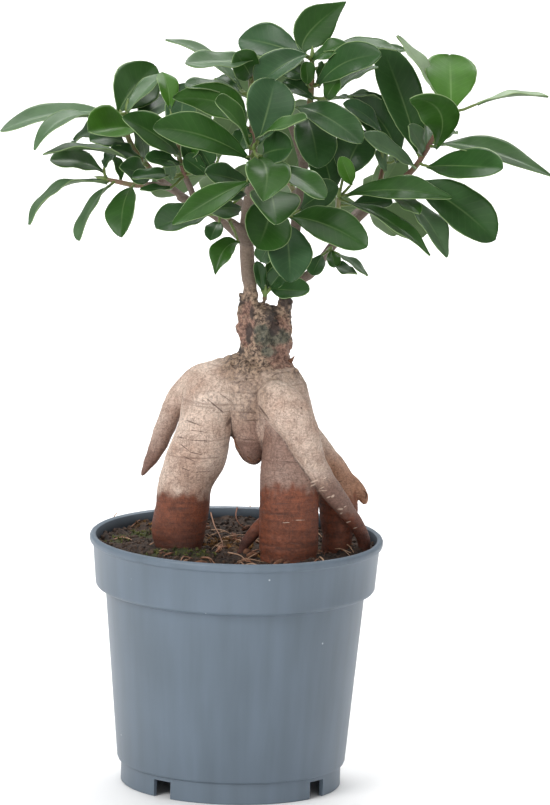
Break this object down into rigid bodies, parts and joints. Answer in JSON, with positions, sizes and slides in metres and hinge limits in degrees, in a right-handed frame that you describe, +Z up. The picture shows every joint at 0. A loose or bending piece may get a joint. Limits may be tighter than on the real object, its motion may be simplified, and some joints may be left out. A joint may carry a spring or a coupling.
{
  "type": "potted ficus ginseng bonsai",
  "caption": "Miniature fig tree with swollen aerial roots, two slim stems and glossy oval leaves, growing in moss-dotted soil in a round grey nursery pot.",
  "frame": {"origin": "on the surface the pot stands on, under the middle of the whole plant's box; the pot's axis is 12 mm towards -X of it", "axes": "+Z up, -Y towards the front that the picture shows, +X to the right as seen from the front"},
  "size_m": [0.2243, 0.1497, 0.3208],
  "materials": {
    "pot": "satin",
    "soil": "matte",
    "bark": "matte",
    "leaf": "satin"
  },
  "bodies": {
    "root": {"pot": "pot", "soil": "soil", "trunk": "bark", "shoot_left_low": "leaf", "shoot_left_high": "leaf", "shoot_left_inner": "leaf", "shoot_left_hanging": "leaf", "shoot_centre_front": "leaf", "shoot_upper_left": "leaf", "shoot_top": "leaf", "shoot_low_centre": "leaf", "shoot_right_front": "leaf", "shoot_right_low": "leaf", "shoot_right_high": "leaf", "shoot_right_inner": "leaf", "shoot_branch_small": "leaf", "shoot_graft": "leaf", "shoot_back_left": "leaf", "shoot_back_centre": "leaf", "shoot_back_right": "leaf", "shoot_back_top": "leaf"}
  },
  "joints": []
}
